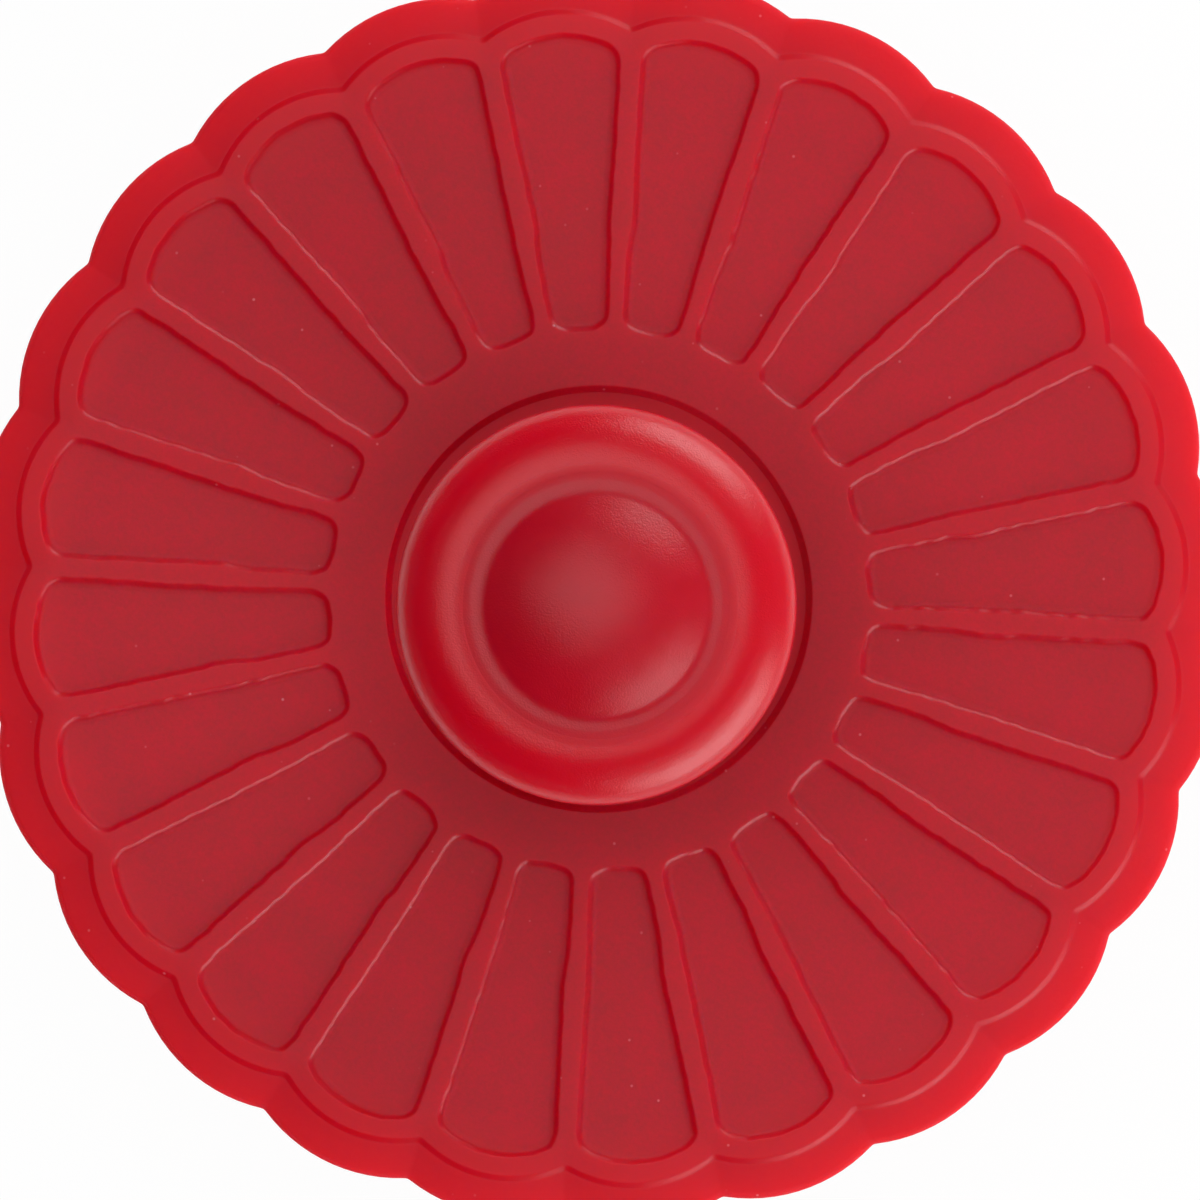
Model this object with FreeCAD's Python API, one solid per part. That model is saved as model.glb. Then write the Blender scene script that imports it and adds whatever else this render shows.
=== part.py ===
"""Spring-loaded flower plunger cutter, in millimetres.

The cutting edge stands on z = 0, +Z points up through the knob, and the
plunger's axis is the Z axis. One petal is centred on +X.
"""
import FreeCAD
import Part
import math
import os

# Flower outline: arcs of one circle of centres, one arc for each petal
petal_count = 24
petal_centre_r = 22.0        # circle that the petal arcs are centred on
petal_arc_r = 6.2            # arc of the raised petal plate
flange_overhang = 1.8        # flange outside the petal plate
notch_r = 0.4                # rounding in the notch between two petals

# Top of the body
flange_t = 1.9               # flange at the foot of the petal plate
flange_fall = 0.55           # how far the flange slopes down to its edge
flange_edge_r = 0.5          # rounded upper edge of the flange
petal_plate_t = 0.4          # petal plate above the flange
plate_edge_r = 0.15          # rounded upper edge of the petal plate
petal_border = 1.07          # raised border round each sunk petal
petal_rib_w = 0.9            # raised rib between two sunk petals
petal_sink = 0.2             # depth of a sunk petal
petal_wall_lean = 0.2        # draft of a sunk petal's wall over its depth
petal_outer_corner_r = 0.9
petal_inner_corner_r = 1.1
hub_land = 2.76              # flat ring between the recess and the sunk petals
recess_gap = 0.9             # knob to the side of the round recess that it comes down into
recess_depth = 0.3

# Cutting skirt
cut_arc_r = 5.0              # arc of the skirt's inner face
edge_land = 0.5              # wall at the cutting edge
skirt_wall = 1.2             # wall under the flange

# Plunger travel and fits
travel = 9.0
eject_past_edge = 0.8        # embossing face beyond the cutting edge, knob pressed
skirt_clearance = 0.35       # embossing plate to skirt
stem_clearance = 0.08        # stem to guide, on the radius
landing_gap = 0.2            # knob rim above the recess floor, knob pressed
guide_gap = 0.6              # knob web above the guide, knob pressed

# Embossing plate
emboss_t = 2.4
emboss_sink = 0.7            # depth of the petal hollows in its face
emboss_lean = 0.25
emboss_rib_w = 0.8
emboss_border = 0.7
emboss_outer_corner_r = 0.7
emboss_inner_corner_r = 0.5
emboss_boss_h = 3.4          # boss that stops against the body
emboss_boss_wall = 2.0
seed_r = 0.85                # round dimples of the flower's centre
seed_depth = 0.55
seed_pitch = 2.5             # from one ring of dimples to the next
seed_rings = (1, 6, 12)      # dimples in each ring
seed_land = 2.75             # outer dimples to the inner ends of the petal hollows

# Stem
stem_d = 7.0
stem_floor_t = 1.6           # plate left under the stem's foot
stem_shoulder = 0.9          # step round the spigot that plugs into the knob
spigot_h = 1.2

# Stem guide
guide_wall = 1.45
guide_edge_r = 0.4

# Return spring
wire_d = 0.9
spring_gap = 0.6             # guide to the inside of the coils
spring_seat_gap = 0.1        # each end of the coils off its seat
spring_turns = 7
end_turn_gap = 0.6           # clear space beside the first and last turn
turn_steps = 4               # biarcs in one turn

# Knob
knob_spring_gap = 1.17       # coils to the wall of the knob's hollow
knob_draft = 0.25            # rim narrower than the knob's widest place
knob_wall = 1.54
knob_rim_r = 0.5             # rounded lower rim
cup_depth = 7.4              # hollow under the knob, rim to web
web_t = 2.4
side_round_r = 1.6           # rounding from the side to the bevel
bevel_w = 1.81               # bevel between side and crown, across
bevel_drop = 1.09            # and down
bevel_round_r = 1.6          # rounding from the bevel to the crown
crown_land = 1.31            # crown round the cap
crown_fall = 0.16            # crown from the cap down to the bevel

# Cap
cap_gap = 0.06               # cap edge to knob
cap_seat_depth = 1.0         # cap's seat below the crown
brim_t = 1.07                # brim above its seat, at the dome's foot
brim_w = 0.89                # brim round the dome
brim_fall = 0.15             # brim from the dome's foot down to the cap's edge
dome_rise = 1.75
dome_foot_r = 0.67           # hollow rounding between dome and brim
plug_wall = 1.0
plug_h = 1.3
cap_skin = 1.3               # dome's thickness over the screw

# Screw
screw_r = 1.4
screw_hole_gap = 0.15
screw_length = 12.0
screw_tip = 1.2
screw_head_r = 2.5
screw_head_h = 1.7
head_edge_r = 0.6
head_side_gap = 0.9          # screw head to the cap's plug
head_top_gap = 0.1           # screw head below the cap's seat
drive_w = 0.7                # arms of the cross recess
drive_l = 2.8
drive_depth = 0.9
pilot_spare = 1.0            # pilot hole below the screw's tip

# Heights and radii that follow from those sizes
face_z = travel - eject_past_edge
emboss_top_z = face_z + emboss_t
deck_z = emboss_top_z + emboss_boss_h
flange_edge_z = deck_z + flange_t - flange_fall
flange_z = deck_z + flange_t
plate_z = flange_z + petal_plate_t
recess_z = plate_z - recess_depth
rim_z = recess_z + landing_gap + travel
web_z = rim_z + cup_depth
guide_z = web_z - travel - guide_gap
well_z = web_z + web_t
seat_z = well_z + screw_head_h + head_top_gap
crown_z = seat_z + cap_seat_depth
bevel_z = crown_z - crown_fall
side_z = bevel_z - bevel_drop
brim_z = seat_z + brim_t
dome_z = brim_z + dome_rise
stem_foot_z = face_z + stem_floor_t
spigot_z = web_z + spigot_h
stem_r = stem_d / 2
spigot_r = stem_r - stem_shoulder
guide_bore_r = stem_r + stem_clearance
guide_r = guide_bore_r + guide_wall
coil_r = guide_r + spring_gap + wire_d / 2
end_pitch = wire_d + end_turn_gap
hollow_r = coil_r + wire_d / 2 + knob_spring_gap
knob_r = hollow_r + knob_wall
bevel_r = knob_r - bevel_w
cap_r = bevel_r - crown_land - cap_gap
dome_r = cap_r - brim_w
plug_bore_r = screw_head_r + head_side_gap
plug_r = plug_bore_r + plug_wall
recess_r = knob_r + recess_gap
petal_inner_r = recess_r + hub_land
emboss_inner_r = (len(seed_rings) - 1) * seed_pitch + seed_r + seed_land
flange_arc_r = petal_arc_r + flange_overhang
half_petal = math.pi / petal_count

vector = FreeCAD.Vector
up = vector(0, 0, 1)
origin = vector(0, 0, 0)


def polar(radius, angle, z):
    return vector(radius * math.cos(angle), radius * math.sin(angle), z)


def arc(start, through, end):
    return Part.Arc(start, through, end).toShape()


def flower_outline(arc_r, z, notch=notch_r):
    """Closed outline of petal arcs, with each notch between two arcs rounded."""
    reach = arc_r + notch
    side = petal_centre_r * math.sin(half_petal)
    notch_centre_r = petal_centre_r * math.cos(half_petal) + math.sqrt(reach ** 2 - side ** 2)
    edges = []
    for petal in range(petal_count):
        middle = 2 * half_petal * petal
        centre = polar(petal_centre_r, middle, z)
        after = polar(notch_centre_r, middle + half_petal, z)
        before = polar(notch_centre_r, middle - half_petal, z)
        next_centre = polar(petal_centre_r, middle + 2 * half_petal, z)
        start = centre + (before - centre) * (arc_r / reach)
        end = centre + (after - centre) * (arc_r / reach)
        next_start = next_centre + (after - next_centre) * (arc_r / reach)
        edges.append(arc(start, polar(petal_centre_r + arc_r, middle, z), end))
        edges.append(arc(end, polar(notch_centre_r - notch, middle + half_petal, z), next_start))
    return Part.Wire(edges)


def flower_slab(arc_r, z_low, z_high, notch=notch_r):
    return Part.Face(flower_outline(arc_r, z_low, notch)).extrude(up * (z_high - z_low))


def flower_taper(low_arc_r, z_low, high_arc_r, z_high):
    outlines = [flower_outline(low_arc_r, z_low), flower_outline(high_arc_r, z_high)]
    return Part.makeLoft(outlines, True, True)


def tube(radius, z_low, z_high):
    return Part.makeCylinder(radius, z_high - z_low, vector(0, 0, z_low))


def edges_at(shape, z):
    """Edges of a shape that lie flat at one height."""
    near = 1e-4
    return [edge for edge in shape.Edges
            if max(abs(edge.BoundBox.ZMin - z), abs(edge.BoundBox.ZMax - z)) < near]


def corner_arc(centre, first, last):
    """Round corner between two tangent points."""
    radius = (first - centre).Length
    middle = (first + last) * 0.5 - centre
    return arc(first, centre + middle * (radius / middle.Length), last)


def petal_outline(arc_r, rib_w, inner_r, outer_corner_r, inner_corner_r, z):
    """Outline of one petal on +X: an arc, two sides along its ribs, a straight inner end."""
    centre = vector(petal_centre_r, 0, z)
    along = vector(math.cos(half_petal), math.sin(half_petal), 0)
    inward = vector(math.sin(half_petal), -math.cos(half_petal), 0)
    base = vector(0, 0, z)
    side = rib_w / 2
    off_axis = side + outer_corner_r - petal_centre_r * math.sin(half_petal)
    reach = arc_r - outer_corner_r
    run = petal_centre_r * math.cos(half_petal) + math.sqrt(reach ** 2 - off_axis ** 2)
    outer = base + along * run + inward * (side + outer_corner_r)
    outer_side = base + along * run + inward * side
    outer_arc = centre + (outer - centre) * (arc_r / reach)
    half_end = inner_r * math.tan(half_petal) - side / math.cos(half_petal)
    inner_corner_r = min(inner_corner_r, half_end)
    depth = side + inner_corner_r
    run = (inner_r + inner_corner_r - depth * math.sin(half_petal)) / math.cos(half_petal)
    inner = base + along * run + inward * depth
    inner_side = base + along * run + inward * side
    inner_end = vector(inner_r, inner.y, z)

    def mirror(p):
        return vector(p.x, -p.y, p.z)

    tip = vector(petal_centre_r + arc_r, 0, z)
    return Part.Wire([
        arc(mirror(outer_arc), tip, outer_arc),
        corner_arc(outer, outer_arc, outer_side),
        Part.makeLine(outer_side, inner_side),
        corner_arc(inner, inner_side, inner_end),
        Part.makeLine(inner_end, mirror(inner_end)),
        corner_arc(mirror(inner), mirror(inner_end), mirror(inner_side)),
        Part.makeLine(mirror(inner_side), mirror(outer_side)),
        corner_arc(mirror(outer), mirror(outer_side), mirror(outer_arc)),
    ])


def petal_ring(arc_r, rib_w, inner_r, outer_corner_r, inner_corner_r, z_open, z_floor, lean):
    """Cutters for all the sunk petals, each narrower at its floor by the lean of its walls."""
    mouth = petal_outline(arc_r, rib_w, inner_r, outer_corner_r, inner_corner_r, z_open)
    floor = petal_outline(arc_r - lean, rib_w + 2 * lean, inner_r + lean,
                          outer_corner_r - lean, inner_corner_r - lean, z_floor)
    petal = Part.makeLoft([mouth, floor], True, True)
    turned = []
    for index in range(petal_count):
        copy = petal.copy()
        copy.rotate(origin, up, math.degrees(2 * half_petal * index))
        turned.append(copy)
    return turned


def lathe(profile):
    """Solid of revolution about Z from a closed list of edges in the XZ plane."""
    return Part.Face(Part.Wire(profile)).revolve(origin, up, 360)


def lathe_lines(points):
    corners = [vector(r, 0, z) for r, z in points]
    return [Part.makeLine(a, b) for a, b in zip(corners, corners[1:])]


def cutter_body():
    flange = flower_slab(flange_arc_r, deck_z, flange_edge_z)
    flange = flange.fuse(flower_taper(flange_arc_r, flange_edge_z, petal_arc_r, flange_z))
    flange = flange.makeFillet(flange_edge_r, edges_at(flange, flange_edge_z))
    plate = flower_slab(petal_arc_r, flange_z, plate_z)
    plate = plate.makeFillet(plate_edge_r, edges_at(plate, plate_z))
    skirt = flower_taper(cut_arc_r + edge_land, 0, cut_arc_r + skirt_wall, deck_z)
    skirt = skirt.cut(flower_slab(cut_arc_r, 0, deck_z))
    body = flange.fuse([plate, skirt])
    body = body.cut(petal_ring(petal_arc_r - petal_border, petal_rib_w, petal_inner_r,
                               petal_outer_corner_r, petal_inner_corner_r,
                               plate_z, plate_z - petal_sink, petal_wall_lean))
    body = body.cut(tube(recess_r, recess_z, plate_z))
    guide = tube(guide_r, recess_z, guide_z)
    guide = guide.makeFillet(guide_edge_r, edges_at(guide, guide_z))
    body = body.fuse(guide)
    return body.cut(tube(guide_bore_r, deck_z, guide_z))


def embossing_plate():
    emboss_arc_r = cut_arc_r - skirt_clearance
    plate = flower_slab(emboss_arc_r, face_z, emboss_top_z, notch_r + skirt_clearance)
    plate = plate.fuse(tube(stem_r + emboss_boss_wall, emboss_top_z, deck_z))
    plate = plate.cut(petal_ring(emboss_arc_r - emboss_border, emboss_rib_w, emboss_inner_r,
                                 emboss_outer_corner_r, emboss_inner_corner_r,
                                 face_z, face_z + emboss_sink, emboss_lean))
    ball_r = (seed_r ** 2 + seed_depth ** 2) / (2 * seed_depth)
    seeds = []
    for ring, count in enumerate(seed_rings):
        for index in range(count):
            place = polar(ring * seed_pitch, 2 * math.pi * index / count, face_z + seed_depth - ball_r)
            seeds.append(Part.makeSphere(ball_r, place))
    plate = plate.cut(seeds)
    return plate.cut(tube(stem_r, stem_foot_z, deck_z))


def plunger_stem():
    stem = tube(stem_r, stem_foot_z, web_z).fuse(tube(spigot_r, web_z, spigot_z))
    return stem.cut(tube(screw_r, well_z - screw_length - pilot_spare, spigot_z))


def spring_points():
    """Quarter-turn points of the coils and their directions, closer wound at both ends."""
    low = recess_z + spring_seat_gap + wire_d / 2
    high = web_z - spring_seat_gap - wire_d / 2
    open_pitch = (high - low - 2 * end_pitch) / (spring_turns - 2)
    pitches = [end_pitch] + [open_pitch] * (spring_turns - 2) + [end_pitch]
    rises = [pitch / turn_steps for pitch in pitches for step in range(turn_steps)]
    step_angle = 2 * math.pi / turn_steps
    points = []
    directions = []
    z = low
    for index in range(len(rises) + 1):
        angle = index * step_angle
        near = rises[max(index - 1, 0):index + 1]
        slope = sum(near) / len(near) / (coil_r * step_angle)
        points.append(polar(coil_r, angle, z))
        directions.append((polar(1, angle + math.pi / 2, 0) + up * slope).normalize())
        z += near[-1]
    return points, directions


def tangent_arc(start, direction, end):
    """Arc that leaves start along a direction and passes through end."""
    chord = end - start
    across = direction - chord * (direction.dot(chord) / chord.dot(chord))
    half_turn = direction.getAngle(chord)
    bulge = chord.Length / 2 * math.tan(half_turn / 2)
    return arc(start, (start + end) * 0.5 + across * (bulge / across.Length), end)


def biarc(start, leaving, end, arriving):
    """Two arcs that meet in one tangent, from one point and direction to the next."""
    span = end - start
    both = leaving + arriving
    bend = 2 * (1 - leaving.dot(arriving))
    reach = (math.sqrt(span.dot(both) ** 2 + bend * span.dot(span)) - span.dot(both)) / bend
    meet = (start + end + (leaving - arriving) * reach) * 0.5
    last = tangent_arc(end, arriving * -1, meet)
    return [tangent_arc(start, leaving, meet), last]


def return_spring():
    points, directions = spring_points()
    foot = points[0] - directions[0] * wire_d
    path = [Part.makeLine(foot, points[0])]
    for index in range(len(points) - 1):
        path += biarc(points[index], directions[index], points[index + 1], directions[index + 1])
    path.append(Part.makeLine(points[-1], points[-1] + directions[-1] * wire_d))
    wire = Part.Wire(Part.sortEdges(path)[0])
    section = Part.Wire(Part.makeCircle(wire_d / 2, foot, directions[0]))
    coils = wire.makePipeShell([section], True, False)
    print("spring gap to itself", round(least_gap(wire), 3), "mm")
    print("spring volume over section times length",
          round(coils.Volume / (math.pi * wire_d ** 2 / 4 * wire.Length), 4))
    return coils


def least_gap(wire):
    """Least clear space between one turn of the coils and the next, on points."""
    per_turn = 48
    points = wire.discretize(Number=per_turn * spring_turns + 1)
    half_turn = per_turn // 2
    nearest = min((points[i] - points[j]).Length
                  for i in range(len(points)) for j in range(i + half_turn, len(points)))
    return nearest - wire_d


def thumb_knob():
    hole_r = screw_r + screw_hole_gap
    knob = lathe(lathe_lines([
        (hollow_r, web_z), (hollow_r, rim_z), (knob_r - knob_draft, rim_z), (knob_r, side_z),
        (bevel_r, bevel_z), (cap_r + cap_gap, crown_z), (cap_r + cap_gap, seat_z),
        (plug_r, seat_z), (plug_r, well_z), (hole_r, well_z), (hole_r, spigot_z),
        (spigot_r, spigot_z), (spigot_r, web_z), (hollow_r, web_z),
    ]))
    outer_rim = max(edges_at(knob, rim_z), key=lambda edge: edge.Length)
    knob = knob.makeFillet(knob_rim_r, [outer_rim])
    knob = knob.makeFillet(side_round_r, edges_at(knob, side_z))
    return knob.makeFillet(bevel_round_r, edges_at(knob, bevel_z))


def knob_cap():
    ball_r = (dome_r ** 2 + dome_rise ** 2) / (2 * dome_rise)
    half_angle = math.asin(dome_r / ball_r) / 2
    ball_z = dome_z - ball_r
    roof_z = dome_z - cap_skin
    profile = lathe_lines([
        (0, roof_z), (plug_bore_r, roof_z), (plug_bore_r, seat_z - plug_h), (plug_r, seat_z - plug_h),
        (plug_r, seat_z), (cap_r, seat_z), (cap_r, brim_z - brim_fall), (dome_r, brim_z),
    ])
    profile.append(arc(vector(dome_r, 0, brim_z),
                       vector(ball_r * math.sin(half_angle), 0, ball_z + ball_r * math.cos(half_angle)),
                       vector(0, 0, dome_z)))
    profile.append(Part.makeLine(vector(0, 0, dome_z), vector(0, 0, roof_z)))
    cap = lathe(profile)
    return cap.makeFillet(dome_foot_r, edges_at(cap, brim_z))


def knob_screw():
    tip_z = well_z - screw_length
    head = tube(screw_head_r, well_z, well_z + screw_head_h)
    head = head.makeFillet(head_edge_r, edges_at(head, well_z + screw_head_h))
    shank = tube(screw_r, tip_z + screw_tip, well_z)
    tip = Part.makeCone(0, screw_r, screw_tip, vector(0, 0, tip_z))
    screw = head.fuse([shank, tip])
    drive_z = well_z + screw_head_h - drive_depth
    arm = Part.makeBox(drive_l, drive_w, drive_depth, vector(-drive_l / 2, -drive_w / 2, drive_z))
    cross = arm.copy()
    cross.rotate(origin, up, 90)
    return screw.cut([arm, cross])


os.makedirs("parts", exist_ok=True)
for make in (cutter_body, embossing_plate, plunger_stem, return_spring, thumb_knob, knob_cap, knob_screw):
    piece = make()
    name = make.__name__
    print(name, "solids", len(piece.Solids), "valid", piece.isValid(), "volume", round(piece.Volume, 2))
    piece.exportStep("parts/" + name + ".step")
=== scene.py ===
"""Dresses a spring-loaded flower plunger cutter, seen from above its thumb knob.

Sizes are in millimetres and mm turns them to metres. The cutting edge stands on z = 0,
the plunger's axis is the Z axis, and one petal is centred on +X.
"""
import math
import random

import bmesh
import bpy
import numpy as np
from mathutils import Matrix, Vector


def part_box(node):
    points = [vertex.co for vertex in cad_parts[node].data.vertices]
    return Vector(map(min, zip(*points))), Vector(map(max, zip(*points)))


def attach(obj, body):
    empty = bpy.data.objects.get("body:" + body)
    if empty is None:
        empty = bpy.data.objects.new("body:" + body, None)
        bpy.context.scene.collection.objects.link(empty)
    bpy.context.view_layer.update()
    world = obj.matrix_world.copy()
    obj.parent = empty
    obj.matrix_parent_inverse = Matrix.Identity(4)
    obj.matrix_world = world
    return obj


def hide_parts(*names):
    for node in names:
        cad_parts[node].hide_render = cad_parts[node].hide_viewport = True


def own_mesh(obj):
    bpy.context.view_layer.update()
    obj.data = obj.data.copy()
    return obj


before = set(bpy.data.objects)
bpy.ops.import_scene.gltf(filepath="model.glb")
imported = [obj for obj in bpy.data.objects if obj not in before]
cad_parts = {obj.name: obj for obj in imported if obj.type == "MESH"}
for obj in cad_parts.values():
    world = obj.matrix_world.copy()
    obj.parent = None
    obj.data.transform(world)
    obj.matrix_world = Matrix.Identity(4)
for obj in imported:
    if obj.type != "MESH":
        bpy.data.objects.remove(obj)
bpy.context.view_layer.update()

# Cutter body: one red moulding with the cutting skirt below, the petal plate on top and the tube
# that guides the stem. Polypropylene, injected into a spark-eroded mould, so that its faces are
# matt and its edges are a little soft. Everything else is carried by it.
mm = 0.001
petal_count = 24
half_petal = math.pi / petal_count
petal_centre_r = 22.0                    # circle that the petal arcs are centred on
body_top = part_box("cutter_body")[1] / mm
flange_arc_r = body_top.x - petal_centre_r
plate_arc_r = 6.15                       # arc of the raised petal plate
cut_arc_r = 5.0                          # arc of the skirt's inner face
notch_r = 0.4                            # rounding in the notch between two petals
edge_land = 0.5                          # wall at the cutting edge
skirt_wall = 1.2                         # wall under the flange
deck_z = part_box("embossing_plate")[1].z / mm
flange_z = deck_z + 2.02                 # where the flange meets the plate
flange_edge_z = flange_z - 0.5           # the flange slopes down to its edge
plate_z = deck_z + 2.3
pocket_z = plate_z - 0.2                 # floor of a sunk petal
recess_z = plate_z - 0.3                 # floor of the round recess under the knob
step_lean = 0.14                         # the plate's edge leans in by this, each way
recess_r = 10.14
guide_r = 5.03
guide_bore_r = 3.58
border_slope = 0.15                      # the plate falls away outside its sunk petals
border_slope_from = 5.15                 # arc at which that starts
plate_edge_r = plate_arc_r - step_lean
plate_edge_z = plate_z - border_slope * (plate_edge_r - border_slope_from)
border_r = plate_arc_r - 0.5             # from there inward the plate is filled in round its petals
border_z = plate_z - border_slope * (border_r - border_slope_from)


def polar(radius, angle):
    return Vector((radius * math.cos(angle), radius * math.sin(angle), 0))


def rounded(corners, steps=5, guard=0.04):
    """Path through (out, up, rounding) corners, each turned as an arc with a short straight lead."""
    path = [Vector(corners[0][:2])]
    for before, corner, after in zip(corners, corners[1:], corners[2:]):
        point = Vector(corner[:2])
        radius = corner[2]
        to_before = (Vector(before[:2]) - point).normalized()
        to_after = (Vector(after[:2]) - point).normalized()
        half = to_before.angle(to_after) / 2
        lead = radius / math.tan(half)
        centre = point + (to_before + to_after).normalized() * (radius / math.sin(half))
        start = point + to_before * lead - centre
        end = point + to_after * lead - centre
        turn = start.angle_signed(end)
        path.append(centre + start + to_before * guard)
        for step in range(steps + 1):
            angle = -turn * step / steps
            path.append(centre + Matrix.Rotation(angle, 2) @ start)
        path.append(centre + end + to_after * guard)
    path.append(Vector(corners[-1][:2]))
    return path


def flower(arc_r, notch=notch_r, arc_steps=13, notch_steps=4):
    """Points round the flower: one arc for each petal, and a rounded notch after it."""
    reach = arc_r + notch
    across = petal_centre_r * math.sin(half_petal)
    spread = half_petal + math.asin(across / reach)
    notch_centre_r = petal_centre_r * math.cos(half_petal) + math.sqrt(reach ** 2 - across ** 2)
    points = []
    for petal in range(petal_count):
        middle = 2 * half_petal * petal
        centre = polar(petal_centre_r, middle)
        for step in range(arc_steps + 1):
            points.append(centre + polar(arc_r, middle + spread * (2 * step / arc_steps - 1)))
        centre = polar(notch_centre_r, middle + half_petal)
        inward = middle + half_petal + math.pi
        for step in range(1, notch_steps):
            turn = (spread - half_petal) * (1 - 2 * step / notch_steps)
            points.append(centre + polar(notch, inward + turn))
    return points


def circle(radius, centre=Vector(), points=96):
    return [centre + polar(radius, 2 * math.pi * point / points) for point in range(points)]


def lay_loop(form, points, z):
    return [form.verts.new((point[0] * mm, point[1] * mm, z * mm)) for point in points]


def skin(form, loops):
    """Joins each loop to the next by a band of faces."""
    for lower, upper in zip(loops, loops[1:]):
        for n in range(len(lower)):
            form.faces.new((lower[n - 1], lower[n], upper[n], upper[n - 1]))


def cover(form, loops):
    """Fills the stretch between an outer loop and the holes in it."""
    edges = []
    for loop in loops:
        for pair in zip(loop, loop[1:] + loop[:1]):
            edges.append(form.edges.get(pair) or form.edges.new(pair))
    bmesh.ops.triangle_fill(form, edges=edges, use_beauty=True, use_dissolve=False, normal=(0, 0, 1))


def petal_outline(arc_r, inner_r, bow, left_rib, right_rib, soft, points):
    """Even points round one petal on +X, its corners rounded over a soft stretch.

    A rib is a list of (radius, distance of the petal's side from the middle of the rib).
    """
    sides = []
    for sign, rib in ((1, left_rib), (-1, right_rib)):
        along = Vector((math.cos(half_petal), sign * math.sin(half_petal)))
        inward = Vector((math.sin(half_petal), -sign * math.cos(half_petal)))
        inner_w = rib[0][1]
        outer_w = rib[-1][1]
        inner_run = (inner_r - inner_w * math.sin(half_petal)) / math.cos(half_petal)
        across = petal_centre_r * math.sin(half_petal) - outer_w
        outer_run = petal_centre_r * math.cos(half_petal) + math.sqrt(arc_r ** 2 - across ** 2)
        runs = [(inner_run, inner_w)] + rib[1:-1] + [(outer_run, outer_w)]
        sides.append([along * run + inward * width for run, width in runs])
    left, right = sides
    centre = Vector((petal_centre_r, 0))
    first = math.atan2(right[-1].y, right[-1].x - petal_centre_r)
    last = math.atan2(left[-1].y, left[-1].x - petal_centre_r)
    arc_steps = 24
    angles = [first + (last - first) * step / arc_steps for step in range(1, arc_steps)]
    arc = [centre + Vector((math.cos(angle), math.sin(angle))) * arc_r for angle in angles]
    corners = right + arc + left[::-1] + [Vector((inner_r - bow, (left[0].y + right[0].y) / 2))]
    corners = np.array(corners + corners[:1])
    run = np.concatenate(([0], np.cumsum(np.linalg.norm(np.diff(corners, axis=0), axis=1))))
    at = np.linspace(0, run[-1], points, endpoint=False)
    even = np.stack([np.interp(at, run, corners[:, axis]) for axis in (0, 1)], axis=1)
    reach = round(soft * points / run[-1])
    for sweep in range(2):
        shifts = range(-reach, reach + 1)
        even = sum(np.roll(even, shift, axis=0) for shift in shifts) / len(shifts)
    return even


def petal_loops(form, outline, path, petal, wander, fall):
    """Loops of one sunk petal: its outline moved out by each step of the path, at that height."""
    ahead = np.roll(outline, -1, axis=0) - np.roll(outline, 1, axis=0)
    ahead /= np.linalg.norm(ahead, axis=1)[:, None]
    outward = np.stack([ahead[:, 1], -ahead[:, 0]], axis=1)
    turn = 2 * half_petal * petal
    spin = np.array([[math.cos(turn), math.sin(turn)], [-math.sin(turn), math.cos(turn)]])
    loops = []
    for step in path:
        points = outline + outward * (step[0] + wander)[:, None]
        heights = step[1] - fall(points)
        at = points @ spin
        loops.append([form.verts.new((p[0] * mm, p[1] * mm, z * mm)) for p, z in zip(at, heights)])
    return loops


def border_fall(points):
    """How far the plate has fallen at points of the petal on +X."""
    arcs = np.hypot(points[:, 0] - petal_centre_r, points[:, 1])
    outer = points[:, 0] > petal_centre_r
    return np.where(outer, np.maximum(arcs - border_slope_from, 0) * border_slope, 0)


def finish_piece(name, form, body, replaced, material):
    """Makes a closed mesh into a smooth piece that rides on a body and stands for a node."""
    bmesh.ops.remove_doubles(form, verts=form.verts, dist=0.001 * mm)
    bmesh.ops.recalc_face_normals(form, faces=form.faces)
    mesh = bpy.data.meshes.new(name)
    form.to_mesh(mesh)
    form.free()
    mesh.polygons.foreach_set("use_smooth", [True] * len(mesh.polygons))
    mesh.materials.append(material)
    piece = bpy.data.objects.new(name, mesh)
    bpy.context.scene.collection.objects.link(piece)
    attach(piece, body)
    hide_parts(replaced)
    return piece


def linear(code):
    """Linear colour of an sRGB hex value."""
    parts = [int(code[n:n + 2], 16) / 255 for n in (1, 3, 5)]
    return [p / 12.92 if p <= 0.04045 else ((p + 0.055) / 1.055) ** 2.4 for p in parts] + [1]


def add_node(material, kind, inputs=(), **settings):
    """Adds a node, sets its properties, and sets or links the inputs that are named."""
    node = material.node_tree.nodes.new("ShaderNode" + kind)
    for name, value in settings.items():
        setattr(node, name, value)
    for name, value in dict(inputs).items():
        if isinstance(value, bpy.types.NodeSocket):
            material.node_tree.links.new(value, node.inputs[name])
        else:
            node.inputs[name].default_value = value
    return node


def new_material(name):
    material = bpy.data.materials.new(name)
    material.use_nodes = True
    material.node_tree.nodes.clear()
    return material


# Moulded polypropylene, matt from the spark-eroded mould: a saturated red under a faint grey
# veil, blotched by the fine grain, slightly clouded pigment and some pale dust caught in the grain.
# It lets light in below its surface. On top of that, a brighter red is painted on the outer flange as
# painted glow,
# # and faintly on the ribs and on the recess floor as painted light against the shade of the pockets and
# the knob.
# # The flange is coarser, and the walls are smoother, drawn along the mould as it opened.
red_deep = linear("#B4031C")
red_light = linear("#C80425")
red_painted_glow = linear("#D3061F")
glow_from = 25.0                         # the painted glow comes in between these radii
glow_to = 28.9
rib_from = 12.2                          # and painted light, faintly, on the ribs outside these
rib_to = 13.4
rib_light_share = 0.12
recess_light_share = 0.5
dust_pink = linear("#E08890")
grain_width = 0.2
grain_height = 0.012
cloud_width = 2.4
dust_spacing = 1.1
speck_edge = 0.08                        # size of a grain of dust, as a share of the spacing
speck_heart = 0.03
speck_share = 0.8
least_rough = 0.54
most_rough = 0.66
wall_rough = 0.3
flange_coarse = 0.2                      # added on the flange
level_least = 0.966                      # upright part of the normal where a wall begins
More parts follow.
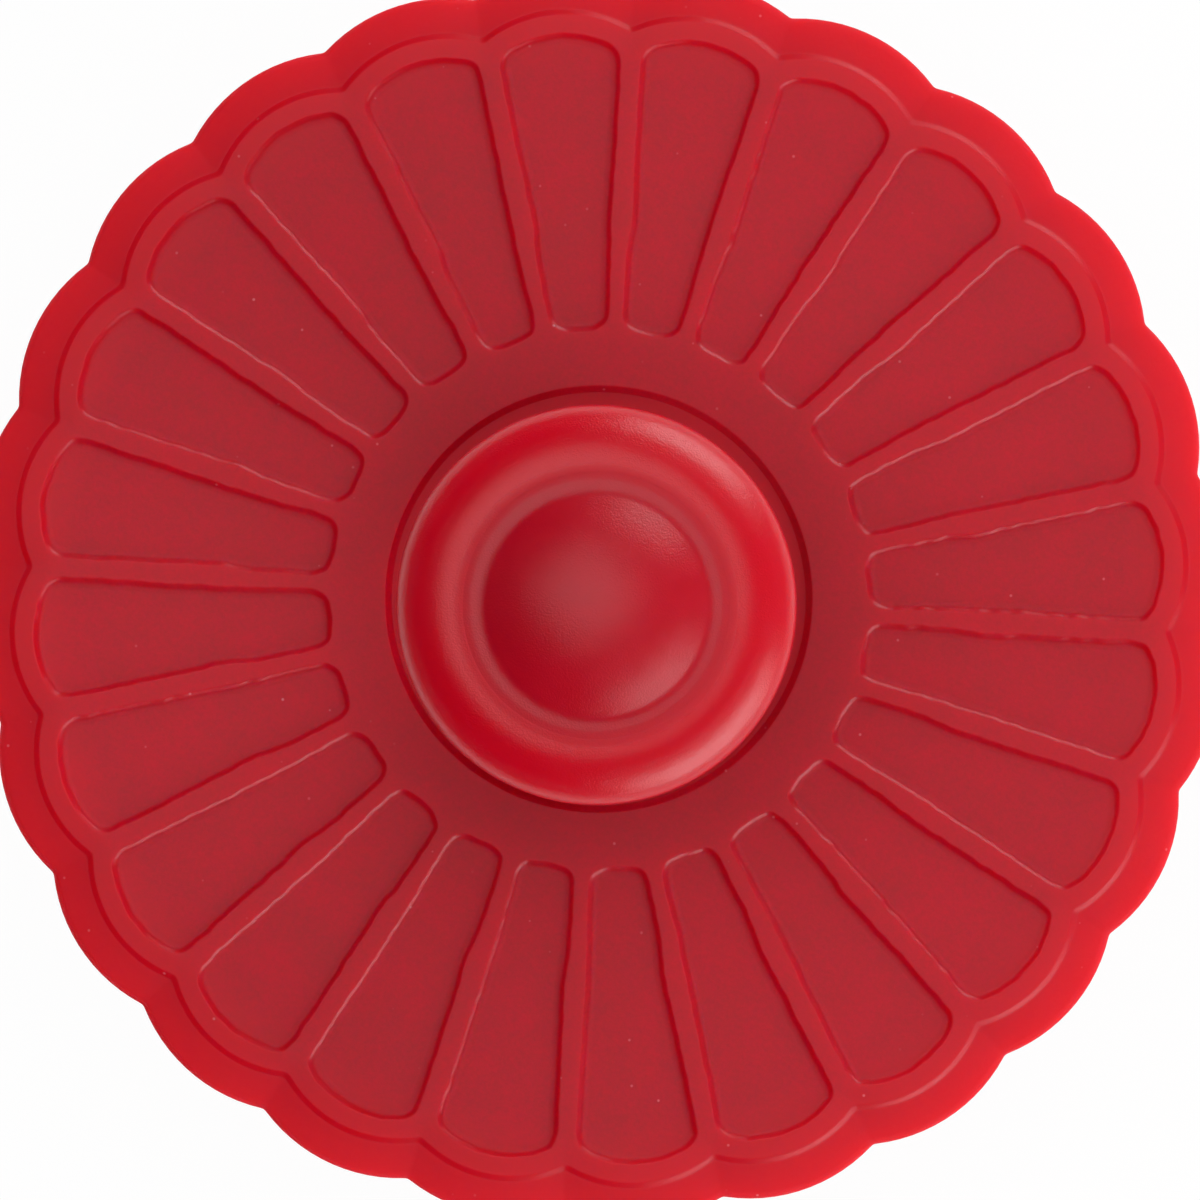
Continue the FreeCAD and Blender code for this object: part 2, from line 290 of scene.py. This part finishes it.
wall_most = 0.92                         # and where it is all wall
matt_red = new_material("moulded_polypropylene_matt_red")
place = add_node(matt_red, "TexCoord").outputs["Object"]
grain = add_node(matt_red, "TexNoise", {"Vector": place, "Scale": 1 / (grain_width * mm), "Detail": 3.0,
                                        "Roughness": 0.7})
cloud = add_node(matt_red, "TexNoise", {"Vector": place, "Scale": 1 / (cloud_width * mm), "Detail": 4.0})
dust = add_node(matt_red, "TexVoronoi", {"Vector": place, "Scale": 1 / (dust_spacing * mm)})
mottle = add_node(matt_red, "Math", {0: cloud.outputs["Fac"], 1: 0.6, 2: grain.outputs["Fac"]},
                  operation="MULTIPLY_ADD")
tone = add_node(matt_red, "MapRange", {"Value": mottle.outputs[0], "From Min": 0.55, "From Max": 1.05})
red = add_node(matt_red, "Mix", {"Factor": tone.outputs[0], "A": red_deep, "B": red_light},
               data_type="RGBA")
level = add_node(matt_red, "VectorMath", {0: place, 1: (1, 1, 0)}, operation="MULTIPLY")
radius = add_node(matt_red, "VectorMath", {0: level.outputs["Vector"]}, operation="LENGTH")
height = add_node(matt_red, "SeparateXYZ", {"Vector": place})
# Painted glow: the flange and the outer ends of the petals are painted a brighter red, as if lit through.
painted_glow = add_node(matt_red, "MapRange", {"Value": radius.outputs["Value"], "From Min": glow_from * mm,
                                       "From Max": glow_to * mm})
# Painted light on the ribs: raised faces outside rib_from are painted a little brighter than the shaded
# pockets.
raised = add_node(matt_red, "MapRange", {"Value": height.outputs["Z"], "From Min": (pocket_z + 0.05) * mm,
                                         "From Max": (plate_z - 0.05) * mm, "To Max": rib_light_share})
outside = add_node(matt_red, "MapRange", {"Value": radius.outputs["Value"], "From Min": rib_from * mm,
                                          "From Max": rib_to * mm})
rib = add_node(matt_red, "Math", {0: raised.outputs[0], 1: outside.outputs[0]}, operation="MULTIPLY")
# Painted light on the recess floor, brightening it against the knob's shade.
recess_painted_light = add_node(matt_red, "MapRange", {"Value": radius.outputs["Value"],
                                         "From Min": (recess_r - 0.05) * mm,
                                         "From Max": (recess_r - 0.3) * mm, "To Max": recess_light_share})
# All the painted glow and painted light together, mixed into the red.
painted_light = add_node(matt_red, "Math", {0: painted_glow.outputs[0], 1: rib.outputs[0]}, operation="MAXIMUM")
painted_light = add_node(matt_red, "Math", {0: painted_light.outputs[0], 1: recess_painted_light.outputs[0]}, operation="MAXIMUM")
red = add_node(matt_red, "Mix", {"Factor": painted_light.outputs[0], "A": red.outputs["Result"], "B": red_painted_glow},
               data_type="RGBA")
speck = add_node(matt_red, "MapRange", {"Value": dust.outputs["Distance"], "From Min": speck_edge,
                                        "From Max": speck_heart, "To Max": speck_share})
chosen = add_node(matt_red, "SeparateColor", {"Color": dust.outputs["Color"]})
rare = add_node(matt_red, "MapRange", {"Value": chosen.outputs["Red"], "From Min": 0.6, "From Max": 1.0})
dusty = add_node(matt_red, "Math", {0: speck.outputs[0], 1: rare.outputs[0]}, operation="MULTIPLY")
colour = add_node(matt_red, "Mix", {"Factor": dusty.outputs[0], "A": red.outputs["Result"],
                                    "B": dust_pink}, data_type="RGBA")
rough = add_node(matt_red, "MapRange", {"Value": mottle.outputs[0], "From Min": 0.5, "From Max": 1.1,
                                        "To Min": least_rough, "To Max": most_rough})
facing = add_node(matt_red, "NewGeometry")
facing = add_node(matt_red, "SeparateXYZ", {"Vector": facing.outputs["Normal"]})
steep = add_node(matt_red, "MapRange", {"Value": facing.outputs["Z"], "From Min": level_least,
                                        "From Max": wall_most})
low = add_node(matt_red, "MapRange", {"Value": height.outputs["Z"], "From Min": (flange_z + 0.02) * mm,
                                      "From Max": (flange_z - 0.04) * mm})
rough = add_node(matt_red, "Math", {0: low.outputs[0], 1: flange_coarse, 2: rough.outputs[0]},
                 operation="MULTIPLY_ADD")
drawn = add_node(matt_red, "Math", {0: steep.outputs[0], 1: low.outputs[0]}, operation="SUBTRACT",
                 use_clamp=True)
rough = add_node(matt_red, "Mix", {"Factor": drawn.outputs[0], "A": rough.outputs[0], "B": wall_rough})
relief = add_node(matt_red, "Bump", {"Height": grain.outputs["Fac"], "Strength": 0.6,
                                     "Distance": grain_height * mm})
shader = add_node(matt_red, "BsdfPrincipled", {
    "Base Color": colour.outputs["Result"], "Roughness": rough.outputs["Result"],
    "Normal": relief.outputs["Normal"], "IOR": 1.49, "Subsurface Weight": 1.0,
    "Subsurface Radius": (1, 0.04, 0.06), "Subsurface Scale": 3.0 * mm})
add_node(matt_red, "OutputMaterial", {"Surface": shader.outputs["BSDF"]})

form = bmesh.new()
shell = [lay_loop(form, flower(step[0]), step[1]) for step in rounded([
    (cut_arc_r - 0.9, deck_z, 0),
    (cut_arc_r, deck_z, 0.3),
    (cut_arc_r, 0, 0.12),
    (cut_arc_r + edge_land, 0, 0.12),
    (cut_arc_r + skirt_wall, deck_z, 0.5),
    (flange_arc_r, deck_z, 0.3),
    (flange_arc_r, flange_edge_z, 0.5),
    (plate_arc_r + step_lean, flange_z, 0.5),
    (plate_edge_r, plate_edge_z, 0.3),
    (border_r, border_z, 0),
])]
skin(form, shell)
middle = [lay_loop(form, circle(step[0]), step[1]) for step in rounded([
    (recess_r + 0.4, plate_z, 0),
    (recess_r + 0.08, plate_z, 0.12),
    (recess_r - 0.24, recess_z, 0.06),
    (guide_r, recess_z, 0.3),
    (guide_r, body_top.z, 0.4),
    (guide_bore_r, body_top.z, 0.3),
    (guide_bore_r, deck_z, 0.3),
    (guide_bore_r + 0.8, deck_z, 0),
])]
skin(form, middle)
cover(form, [shell[0], middle[-1]])

# The sunk petals are drawn by hand in the mould: one side has a small kink, and each wavers a little
pocket_outline = petal_outline(
    arc_r=5.03, inner_r=13.0, bow=0.12, soft=0.52, points=160,
    left_rib=[(0, 0.47), (15.6, 0.48), (17.3, 0.50), (18.0, 0.70), (19.6, 0.64), (26, 0.60)],
    right_rib=[(0, 0.37), (14.6, 0.41), (16.6, 0.50), (19.0, 0.53), (26, 0.49)])
pocket_wall = rounded([(0.3, plate_z, 0), (0.12, plate_z, 0.2), (-0.213, pocket_z, 0.7),
                       (-0.45, pocket_z, 0)], steps=3, guard=0.01)
waver = random.Random(5)
waver_depth = 0.016
waver_waves = (5, 9, 14, 21, 29, 38)     # waves round one petal
around = np.linspace(0, 2 * math.pi, len(pocket_outline), endpoint=False)
rims = []
for petal in range(petal_count):
    wander = sum(waver.uniform(0.3, 1) * waver_depth * np.sin(waves * around + waver.uniform(0, 6.3))
                 for waves in waver_waves)
    loops = petal_loops(form, pocket_outline, pocket_wall, petal, wander, border_fall)
    skin(form, loops)
    cover(form, [loops[-1]])
    rims.append(loops[0])
cover(form, [shell[-1], middle[0]] + rims)
finish_piece("cutter_body_moulding", form, "cutter", "cutter_body", matt_red)

# Embossing plate: the scalloped plate inside the skirt, with the petal hollows and the round
# seed dimples that mark the paste. Moulded in the same red polypropylene, in one with the boss
# that takes the stem's foot and stops against the body.
face_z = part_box("embossing_plate")[0].z / mm
emboss_top_z = face_z + 2.4
emboss_arc_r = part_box("embossing_plate")[1].x / mm - petal_centre_r
emboss_notch_r = notch_r + cut_arc_r - emboss_arc_r
emboss_floor_z = face_z + 0.7
emboss_inner_r = 8.6
boss_r = 5.5
stem_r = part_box("plunger_stem")[1].x / mm
stem_foot_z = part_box("plunger_stem")[0].z / mm
seed_r = 0.85
seed_depth = 0.55
seed_pitch = 2.5
seed_rings = (1, 6, 12)
form = bmesh.new()
shell = [lay_loop(form, flower(step[0], emboss_notch_r), step[1]) for step in rounded([
    (emboss_arc_r - 0.3, face_z, 0),
    (emboss_arc_r, face_z, 0.12),
    (emboss_arc_r, emboss_top_z, 0.3),
    (emboss_arc_r - 0.8, emboss_top_z, 0),
], steps=3)]
skin(form, shell)
boss = [lay_loop(form, circle(step[0]), step[1]) for step in rounded([
    (boss_r + 0.8, emboss_top_z, 0),
    (boss_r, emboss_top_z, 0.5),
    (boss_r, deck_z, 0.2),
    (stem_r, deck_z, 0.1),
    (stem_r, stem_foot_z, 0.1),
    (0, stem_foot_z, 0),
])]
skin(form, boss)
cover(form, [shell[-1], boss[0]])
hollow_outline = petal_outline(arc_r=3.99, inner_r=emboss_inner_r, bow=0, soft=0.45, points=60,
                               left_rib=[(0, 0.4), (26, 0.4)], right_rib=[(0, 0.4), (26, 0.4)])
hollow_wall = rounded([(0.22, face_z, 0), (0.04, face_z, 0.1), (-0.21, emboss_floor_z, 0.16),
                       (-0.42, emboss_floor_z, 0)], steps=2)
rims = []
for petal in range(petal_count):
    loops = petal_loops(form, hollow_outline, hollow_wall, petal, np.zeros(len(hollow_outline)),
                        lambda points: np.zeros(len(points)))
    skin(form, loops)
    cover(form, [loops[-1]])
    rims.append(loops[0])
seed_ball_r = (seed_r ** 2 + seed_depth ** 2) / (2 * seed_depth)
seed_turn = math.asin(seed_r / seed_ball_r)
seed_path = [Vector((seed_r + 0.08, face_z))]
for step in range(7):
    angle = seed_turn * (1 - step / 6)
    lift = seed_ball_r * (math.cos(angle) - math.cos(seed_turn))
    seed_path.append(Vector((seed_ball_r * math.sin(angle), face_z + lift)))
for ring, count in enumerate(seed_rings):
    for seed in range(count):
        at = polar(ring * seed_pitch, 2 * math.pi * seed / count)
        loops = [lay_loop(form, circle(step[0], at, 20), step[1]) for step in seed_path]
        skin(form, loops)
        rims.append(loops[0])
cover(form, [shell[0]] + rims)
finish_piece("embossing_plate_moulding", form, "plunger", "embossing_plate", matt_red)

# Plunger stem: the round rod between plate and knob, with a spigot that plugs into the knob and
# a pilot hole down its middle for the screw. Moulded in the same red polypropylene.
web_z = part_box("return_spring")[1].z / mm + 0.1
spigot_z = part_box("plunger_stem")[1].z / mm
spigot_r = stem_r - 0.9
pilot_r = 1.4
pilot_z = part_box("knob_screw")[0].z / mm - 1.0
form = bmesh.new()
skin(form, [lay_loop(form, circle(step[0]), step[1]) for step in rounded([
    (0, stem_foot_z, 0),
    (stem_r, stem_foot_z, 0.15),
    (stem_r, web_z, 0.2),
    (spigot_r, web_z, 0.05),
    (spigot_r, spigot_z, 0.2),
    (pilot_r, spigot_z, 0.1),
    (pilot_r, pilot_z, 0.1),
    (0, pilot_z, 0),
])])
finish_piece("plunger_stem_rod", form, "plunger", "plunger_stem", matt_red)

# Return spring: seven turns of hard-drawn steel wire round the guide, from the floor of the
# recess to the knob's web, wound closer at both ends, with the wire cut off square.
wire_r = 0.45
coil_r = 6.08
turns = 7
end_pitch = 1.5
spring_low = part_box("return_spring")[0].z / mm + wire_r
spring_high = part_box("return_spring")[1].z / mm - wire_r
turn_steps = 48
wire_sides = 14

# Hard-drawn spring steel, bright from the die with a film of oil: a grey gloss, streaked along
# the wire by fine drawing lines.
steel_grey = linear("#A9A8A3")
steel_dark = linear("#7F7D79")
draw_line = 0.05
draw_depth = 0.004
drawn_steel = new_material("hard_drawn_spring_steel")
place = add_node(drawn_steel, "TexCoord").outputs["Object"]
stretch = add_node(drawn_steel, "Mapping", {"Vector": place, "Scale": (0.04, 0.04, 1)})
lines = add_node(drawn_steel, "TexNoise", {"Vector": stretch.outputs["Vector"],
                                           "Scale": 1 / (draw_line * mm), "Detail": 3.0})
colour = add_node(drawn_steel, "Mix", {"Factor": lines.outputs["Fac"], "A": steel_dark, "B": steel_grey},
                  data_type="RGBA")
rough = add_node(drawn_steel, "MapRange", {"Value": lines.outputs["Fac"], "To Min": 0.22, "To Max": 0.42})
relief = add_node(drawn_steel, "Bump", {"Height": lines.outputs["Fac"], "Strength": 0.3,
                                        "Distance": draw_depth * mm})
shader = add_node(drawn_steel, "BsdfPrincipled", {
    "Base Color": colour.outputs["Result"], "Metallic": 1.0, "Roughness": rough.outputs[0],
    "Normal": relief.outputs["Normal"]})
add_node(drawn_steel, "OutputMaterial", {"Surface": shader.outputs["BSDF"]})

knots = [0, 1, turns - 1, turns]
heights = [spring_low, spring_low + end_pitch, spring_high - end_pitch, spring_high]
blend = 0.25
spine = []
for step in range(turns * turn_steps + 1):
    turn = step / turn_steps
    samples = [np.interp(min(max(turn + blend * s / 4, 0), turns), knots, heights) for s in range(-4, 5)]
    spine.append(polar(coil_r, 2 * math.pi * turn) + Vector((0, 0, float(np.mean(samples)))))
spine[0].z = spring_low
spine[-1].z = spring_high
spine.insert(0, spine[0] - (spine[1] - spine[0]).normalized() * 2 * wire_r)
spine.append(spine[-1] + (spine[-1] - spine[-2]).normalized() * 2 * wire_r)
form = bmesh.new()
rings = []
for n, point in enumerate(spine):
    along = (spine[min(n + 1, len(spine) - 1)] - spine[max(n - 1, 0)]).normalized()
    side = Vector((point.x, point.y, 0)).normalized()
    side = (side - along * side.dot(along)).normalized()
    top = along.cross(side)
    ring = []
    for s in range(wire_sides):
        angle = 2 * math.pi * s / wire_sides
        ring.append(point + (side * math.cos(angle) + top * math.sin(angle)) * wire_r)
    rings.append([form.verts.new(p * mm) for p in ring])
skin(form, rings)
for ring in (rings[0], rings[-1]):
    form.faces.new(ring)
spring = finish_piece("return_spring_wire", form, "cutter", "return_spring", drawn_steel)
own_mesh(spring)

# Thumb knob: the hollow round knob that is pressed, open below where it slides over the spring,
# with a well in its crown for the screw. Moulded in the same red, from a polished mould.
knob_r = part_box("thumb_knob")[1].x / mm + 0.02
rim_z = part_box("thumb_knob")[0].z / mm
crown_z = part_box("thumb_knob")[1].z / mm
rim_r = knob_r - 0.25
hollow_r = 7.7
well_z = web_z + 2.4
seat_z = crown_z - 1.0
seam_r = 6.13                            # line where the cap meets the knob
cap_hole_r = seam_r - 0.08
crown_edge_r = 6.2                       # where the crown turns down to the cap
crown_edge_slope = math.tan(math.radians(5))
bevel_r = 7.25                           # where the crown turns down into the bevel
bevel_z = crown_z - 0.15
shoulder_r = 8.2                         # where the bevel turns steeper
shoulder_z = bevel_z - (shoulder_r - bevel_r) * math.tan(math.radians(25))
side_z = shoulder_z - (knob_r - shoulder_r) * math.tan(math.radians(39.5))
plug_r = 4.4
screw_hole_r = 1.55

# Moulded polypropylene from a polished mould: the same red with a satin gloss, fine swirls left
# by the polishing, a bloom of tiny scratches from use on the raised middle, and a dull line at
# the seam that the polishing didn't reach.
satin_deep = linear("#B8031D")
satin_light = linear("#C40423")
satin_painted_glow = linear("#D00521")
satin_glow_from = 5.7                          # the painted glow, a lighter red, comes in between these radii
satin_glow_to = 6.6
worn_to = 5.6                            # the middle is worn out to there
polished_from = 6.2
worn_rough = 0.31
polished_rough = 0.23
patch_rough = 0.03                       # more or less than that in patches
haze_width = 0.9
scratch_width = 0.09
scratch_depth = 0.018
seam_near = 0.1                          # distance from the seam that is all dull
seam_dull_to = 0.45
seam_rough = 0.32                        # added at the seam
soak_far = 1.3                           # light soaks in fully from this far off the seam
soak_least = 0.06
soak_most = 0.6
satin_red = new_material("moulded_polypropylene_satin_red")
place = add_node(satin_red, "TexCoord").outputs["Object"]
haze = add_node(satin_red, "TexNoise", {"Vector": place, "Scale": 1 / (haze_width * mm), "Detail": 5.0})
scuff = add_node(satin_red, "TexNoise", {"Vector": place, "Scale": 1 / (scratch_width * mm), "Detail": 3.0})
red = add_node(satin_red, "Mix", {"Factor": haze.outputs["Fac"], "A": satin_deep, "B": satin_light},
               data_type="RGBA")
level = add_node(satin_red, "VectorMath", {0: place, 1: (1, 1, 0)}, operation="MULTIPLY")
radius = add_node(satin_red, "VectorMath", {0: level.outputs["Vector"]}, operation="LENGTH")
# Painted glow: the crown's outer ring is painted a lighter red, as if lit through the knob's thin outer
# wall.
painted_glow = add_node(satin_red, "MapRange", {"Value": radius.outputs["Value"], "From Min": satin_glow_from * mm,
                                        "From Max": satin_glow_to * mm})
red = add_node(satin_red, "Mix", {"Factor": painted_glow.outputs[0], "A": red.outputs["Result"], "B": satin_painted_glow},
               data_type="RGBA")
worn = add_node(satin_red, "MapRange", {"Value": radius.outputs["Value"], "From Min": worn_to * mm,
                                        "From Max": polished_from * mm, "To Min": worn_rough,
                                        "To Max": polished_rough})
patchy = add_node(satin_red, "MapRange", {"Value": haze.outputs["Fac"], "From Min": 0.3, "From Max": 0.7,
                                          "To Min": -patch_rough, "To Max": patch_rough})
rough = add_node(satin_red, "Math", {0: worn.outputs[0], 1: patchy.outputs[0]}, operation="ADD")
from_seam = add_node(satin_red, "Math", {0: radius.outputs["Value"], 1: seam_r * mm}, operation="SUBTRACT")
from_seam = add_node(satin_red, "Math", {0: from_seam.outputs[0]}, operation="ABSOLUTE")
dull = add_node(satin_red, "MapRange", {"Value": from_seam.outputs[0], "From Min": seam_near * mm,
                                        "From Max": seam_dull_to * mm, "To Min": seam_rough, "To Max": 0.0})
rough = add_node(satin_red, "Math", {0: rough.outputs[0], 1: dull.outputs[0]}, operation="ADD")
relief = add_node(satin_red, "Bump", {"Height": scuff.outputs["Fac"], "Strength": 1.0,
                                      "Distance": scratch_depth * mm})
soak = add_node(satin_red, "MapRange", {"Value": from_seam.outputs[0], "From Min": seam_near * mm,
                                        "From Max": soak_far * mm, "To Min": soak_least * mm,
                                        "To Max": soak_most * mm})
shader = add_node(satin_red, "BsdfPrincipled", {
    "Base Color": red.outputs["Result"], "Roughness": rough.outputs[0],
    "Normal": relief.outputs["Normal"], "IOR": 1.49, "Subsurface Weight": 1.0,
    "Subsurface Radius": (1, 0.04, 0.06), "Subsurface Scale": soak.outputs[0]})
add_node(satin_red, "OutputMaterial", {"Surface": shader.outputs["BSDF"]})

form = bmesh.new()
skin(form, [lay_loop(form, circle(step[0], points=128), step[1]) for step in rounded([
    (hollow_r, (rim_z + web_z) / 2, 0),
    (hollow_r, rim_z, 0.35),
    (rim_r, rim_z, 0.5),
    (knob_r, side_z, 1.35),
    (shoulder_r, shoulder_z, 3.3),
    (bevel_r, bevel_z, 3.0),
    (crown_edge_r, crown_z, 0.6),
    (cap_hole_r, crown_z - (crown_edge_r - cap_hole_r) * crown_edge_slope, 0.02),
    (cap_hole_r, seat_z, 0.1),
    (plug_r, seat_z, 0.1),
    (plug_r, well_z, 0.1),
    (screw_hole_r, well_z, 0.1),
    (screw_hole_r, spigot_z, 0.1),
    (spigot_r, spigot_z, 0.05),
    (spigot_r, web_z, 0.05),
    (hollow_r, web_z, 0.5),
    (hollow_r, (rim_z + web_z) / 2, 0),
], steps=6)])
finish_piece("thumb_knob_moulding", form, "plunger", "thumb_knob", satin_red)

# Knob screw: a pan-head self-tapping screw with a cross recess, which pulls the knob down on the
# stem. It is carbon steel, cold-headed and zinc plated, and hidden by the cap.
zinc_light = linear("#C4C6C6")
zinc_dark = linear("#9EA09F")
spangle_width = 0.5
zinc_plate = new_material("zinc_plated_steel")
place = add_node(zinc_plate, "TexCoord").outputs["Object"]
spangle = add_node(zinc_plate, "TexNoise", {"Vector": place, "Scale": 1 / (spangle_width * mm),
                                            "Detail": 4.0})
colour = add_node(zinc_plate, "Mix", {"Factor": spangle.outputs["Fac"], "A": zinc_dark, "B": zinc_light},
                  data_type="RGBA")
rough = add_node(zinc_plate, "MapRange", {"Value": spangle.outputs["Fac"], "To Min": 0.25, "To Max": 0.45})
shader = add_node(zinc_plate, "BsdfPrincipled", {
    "Base Color": colour.outputs["Result"], "Metallic": 1.0, "Roughness": rough.outputs[0]})
add_node(zinc_plate, "OutputMaterial", {"Surface": shader.outputs["BSDF"]})
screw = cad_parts["knob_screw"]
screw.data.materials.clear()
screw.data.materials.append(zinc_plate)

# Knob cap: the domed button that is pressed into the knob's crown over the screw. Moulded in the
# same satin red, with a flat brim round the dome and a ring below that grips the well.
cap_r = seam_r + 0.07                    # pressed into the knob, with no gap
dome_r = 5.24
brim_z = crown_z + 0.1
brim_edge_r = 5.8                        # where the brim turns down to the seam
brim_edge_z = brim_z - 0.045
brim_edge_slope = math.tan(math.radians(11))
dome_ball_r = 8.6
dome_turn = math.radians(30.5)           # the dome's flank is straight from there to the brim
flank_r = dome_ball_r * math.sin(dome_turn)
flank_z = brim_z + (dome_r - flank_r) * math.tan(dome_turn)
dome_z = flank_z + dome_ball_r * (1 - math.cos(dome_turn))
plug_bore_r = 3.4
plug_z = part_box("knob_cap")[0].z / mm
roof_z = dome_z - 1.3
dome_steps = 11
cap_corners = [
    (0, roof_z, 0),
    (plug_bore_r, roof_z, 0.2),
    (plug_bore_r, plug_z, 0.15),
    (plug_r, plug_z, 0.2),
    (plug_r, seat_z, 0.05),
    (cap_r, seat_z, 0.1),
    (cap_r, brim_edge_z - (cap_r - brim_edge_r) * brim_edge_slope, 0.02),
    (brim_edge_r, brim_edge_z, 1.3),
    (dome_r, brim_z, 1.0),
]
dome = []
for step in range(dome_steps + 1):
    angle = dome_turn * (1 - step / dome_steps)
    dome.append((dome_ball_r * math.sin(angle), dome_z - dome_ball_r * (1 - math.cos(angle)), 0))
cap_path = rounded(cap_corners + dome[:1], steps=5) + [Vector(point[:2]) for point in dome[1:]]
form = bmesh.new()
skin(form, [lay_loop(form, circle(step[0], points=128), step[1]) for step in cap_path])
finish_piece("knob_cap_button", form, "plunger", "knob_cap", satin_red)

# Floor: a wide sheet of white card, which keeps the cutter's soft shadow. It is plain white to the
# camera, and less so in reflections, where its shaded side counts.
card_white = linear("#FDFDFD")
floor_r = 3.0                            # metres
camera_share = 0.96                      # how far the card is plain white to the camera
mirror_share = 0.24                      # and in reflections
fibre_width = 0.4
fibre_height = 0.01
card = new_material("white_card")
path_kind = add_node(card, "LightPath")
mirrored = add_node(card, "Math", {0: path_kind.outputs["Is Glossy Ray"],
                                   1: path_kind.outputs["Is Transmission Ray"]}, operation="MAXIMUM")
mirrored = add_node(card, "Math", {0: mirrored.outputs[0], 1: mirror_share}, operation="MULTIPLY")
seen = add_node(card, "Math", {0: path_kind.outputs["Is Camera Ray"], 1: camera_share},
                operation="MULTIPLY")
part_seen = add_node(card, "Math", {0: seen.outputs[0], 1: mirrored.outputs[0]}, operation="MAXIMUM")
fibre = add_node(card, "TexNoise", {"Vector": add_node(card, "TexCoord").outputs["Object"],
                                    "Scale": 1 / (fibre_width * mm), "Detail": 3.0})
tooth = add_node(card, "Bump", {"Height": fibre.outputs["Fac"], "Strength": 0.1,
                                "Distance": fibre_height * mm})
matt_card = add_node(card, "BsdfDiffuse", {"Color": card_white, "Normal": tooth.outputs["Normal"]})
plain_white = add_node(card, "Emission", {"Strength": 1.0})
surface = add_node(card, "MixShader", {0: part_seen.outputs[0], 1: matt_card.outputs["BSDF"],
                                       2: plain_white.outputs["Emission"]})
add_node(card, "OutputMaterial", {"Surface": surface.outputs["Shader"]})
form = bmesh.new()
bmesh.ops.create_circle(form, cap_ends=True, segments=96, radius=floor_r)
sheet = bpy.data.meshes.new("floor_card")
form.to_mesh(sheet)
form.free()
sheet.materials.append(card)
floor = bpy.data.objects.new("floor_card", sheet)
bpy.context.scene.collection.objects.link(floor)

# Studio light: two soft boxes on the right, a large soft sheet overhead with a dim fill above it
# that shows in no reflection, and a dim grey room with a paler wall on the right.
image_turn = math.radians(-4.2)          # direction of the picture's right edge
plate_middle = Vector((0, 0, plate_z * mm))
room_dim = 0.01
room_pale = 0.2


def soft_box(name, azimuth, elevation, distance, wide, high, radiance):
    """Rectangular lamp aimed at the plate: degrees as seen in the picture, and metres."""
    lamp = bpy.data.lights.new(name, "AREA")
    lamp.shape = "RECTANGLE"
    lamp.size = wide
    lamp.size_y = high
    lamp.energy = radiance * math.pi * wide * high
    turned = math.radians(azimuth) + image_turn
    level = math.cos(math.radians(elevation))
    away = Vector((level * math.cos(turned), level * math.sin(turned), math.sin(math.radians(elevation))))
    box = bpy.data.objects.new(name, lamp)
    box.location = plate_middle + away * distance
    box.rotation_euler = away.to_track_quat("Z", "Y").to_euler()
    bpy.context.scene.collection.objects.link(box)
    return box


soft_box("soft_box_upper_right", azimuth=58, elevation=16, distance=0.9, wide=0.64, high=0.38,
         radiance=4.6)
soft_box("soft_box_lower_right", azimuth=-50, elevation=16, distance=0.9, wide=0.9, high=0.38,
         radiance=4.6)
soft_box("soft_sheet_overhead", azimuth=130, elevation=80, distance=1.0, wide=1.0, high=1.0,
         radiance=1.3)
fill = soft_box("soft_fill_overhead", azimuth=130, elevation=84, distance=1.3, wide=2.4, high=2.4,
                radiance=0.5)
fill.visible_glossy = False
room = bpy.data.worlds.new("room_with_a_pale_wall_on_the_right")
room.use_nodes = True
room.node_tree.nodes.clear()
direction = add_node(room, "TexCoord").outputs["Generated"]
toward = add_node(room, "VectorMath", {0: direction, 1: polar(1, image_turn)}, operation="DOT_PRODUCT")
wall = add_node(room, "MapRange", {"Value": toward.outputs["Value"], "From Min": -0.4, "From Max": 0.3,
                                   "To Min": room_dim, "To Max": room_pale},
                interpolation_type="SMOOTHSTEP")
glow = add_node(room, "Background", {"Strength": wall.outputs[0]})
add_node(room, "OutputWorld", {"Surface": glow.outputs["Background"]})
bpy.context.scene.world = room

# Camera: almost straight above, with a long lens, a little to the upper right of the axis.
camera_height = 517 * mm                 # above the petal plate
view_width = 57.4 * mm                   # what the picture spans at the plate
camera_lean = 0.0147                     # sideways for each unit up
lean_turn = math.radians(69) + image_turn
aim_right = 0.06 * mm                    # middle of the picture from the middle of the plate
aim_up = -0.04 * mm
lens = bpy.data.cameras.new("camera")
lens.sensor_width = 36
lens.lens = lens.sensor_width * camera_height / view_width
lens.clip_start = 0.01
camera = bpy.data.objects.new("camera", lens)
away = (polar(camera_lean, lean_turn) + Vector((0, 0, 1))).normalized()
right = polar(1, image_turn)
right = (right - away * right.dot(away)).normalized()
up = away.cross(right)
stand = Matrix((right, up, away)).transposed().to_4x4()
stand.translation = plate_middle + right * aim_right + up * aim_up + away * camera_height
camera.matrix_world = stand
bpy.context.scene.collection.objects.link(camera)
bpy.context.scene.camera = camera
bpy.context.scene.view_settings.view_transform = "Standard"
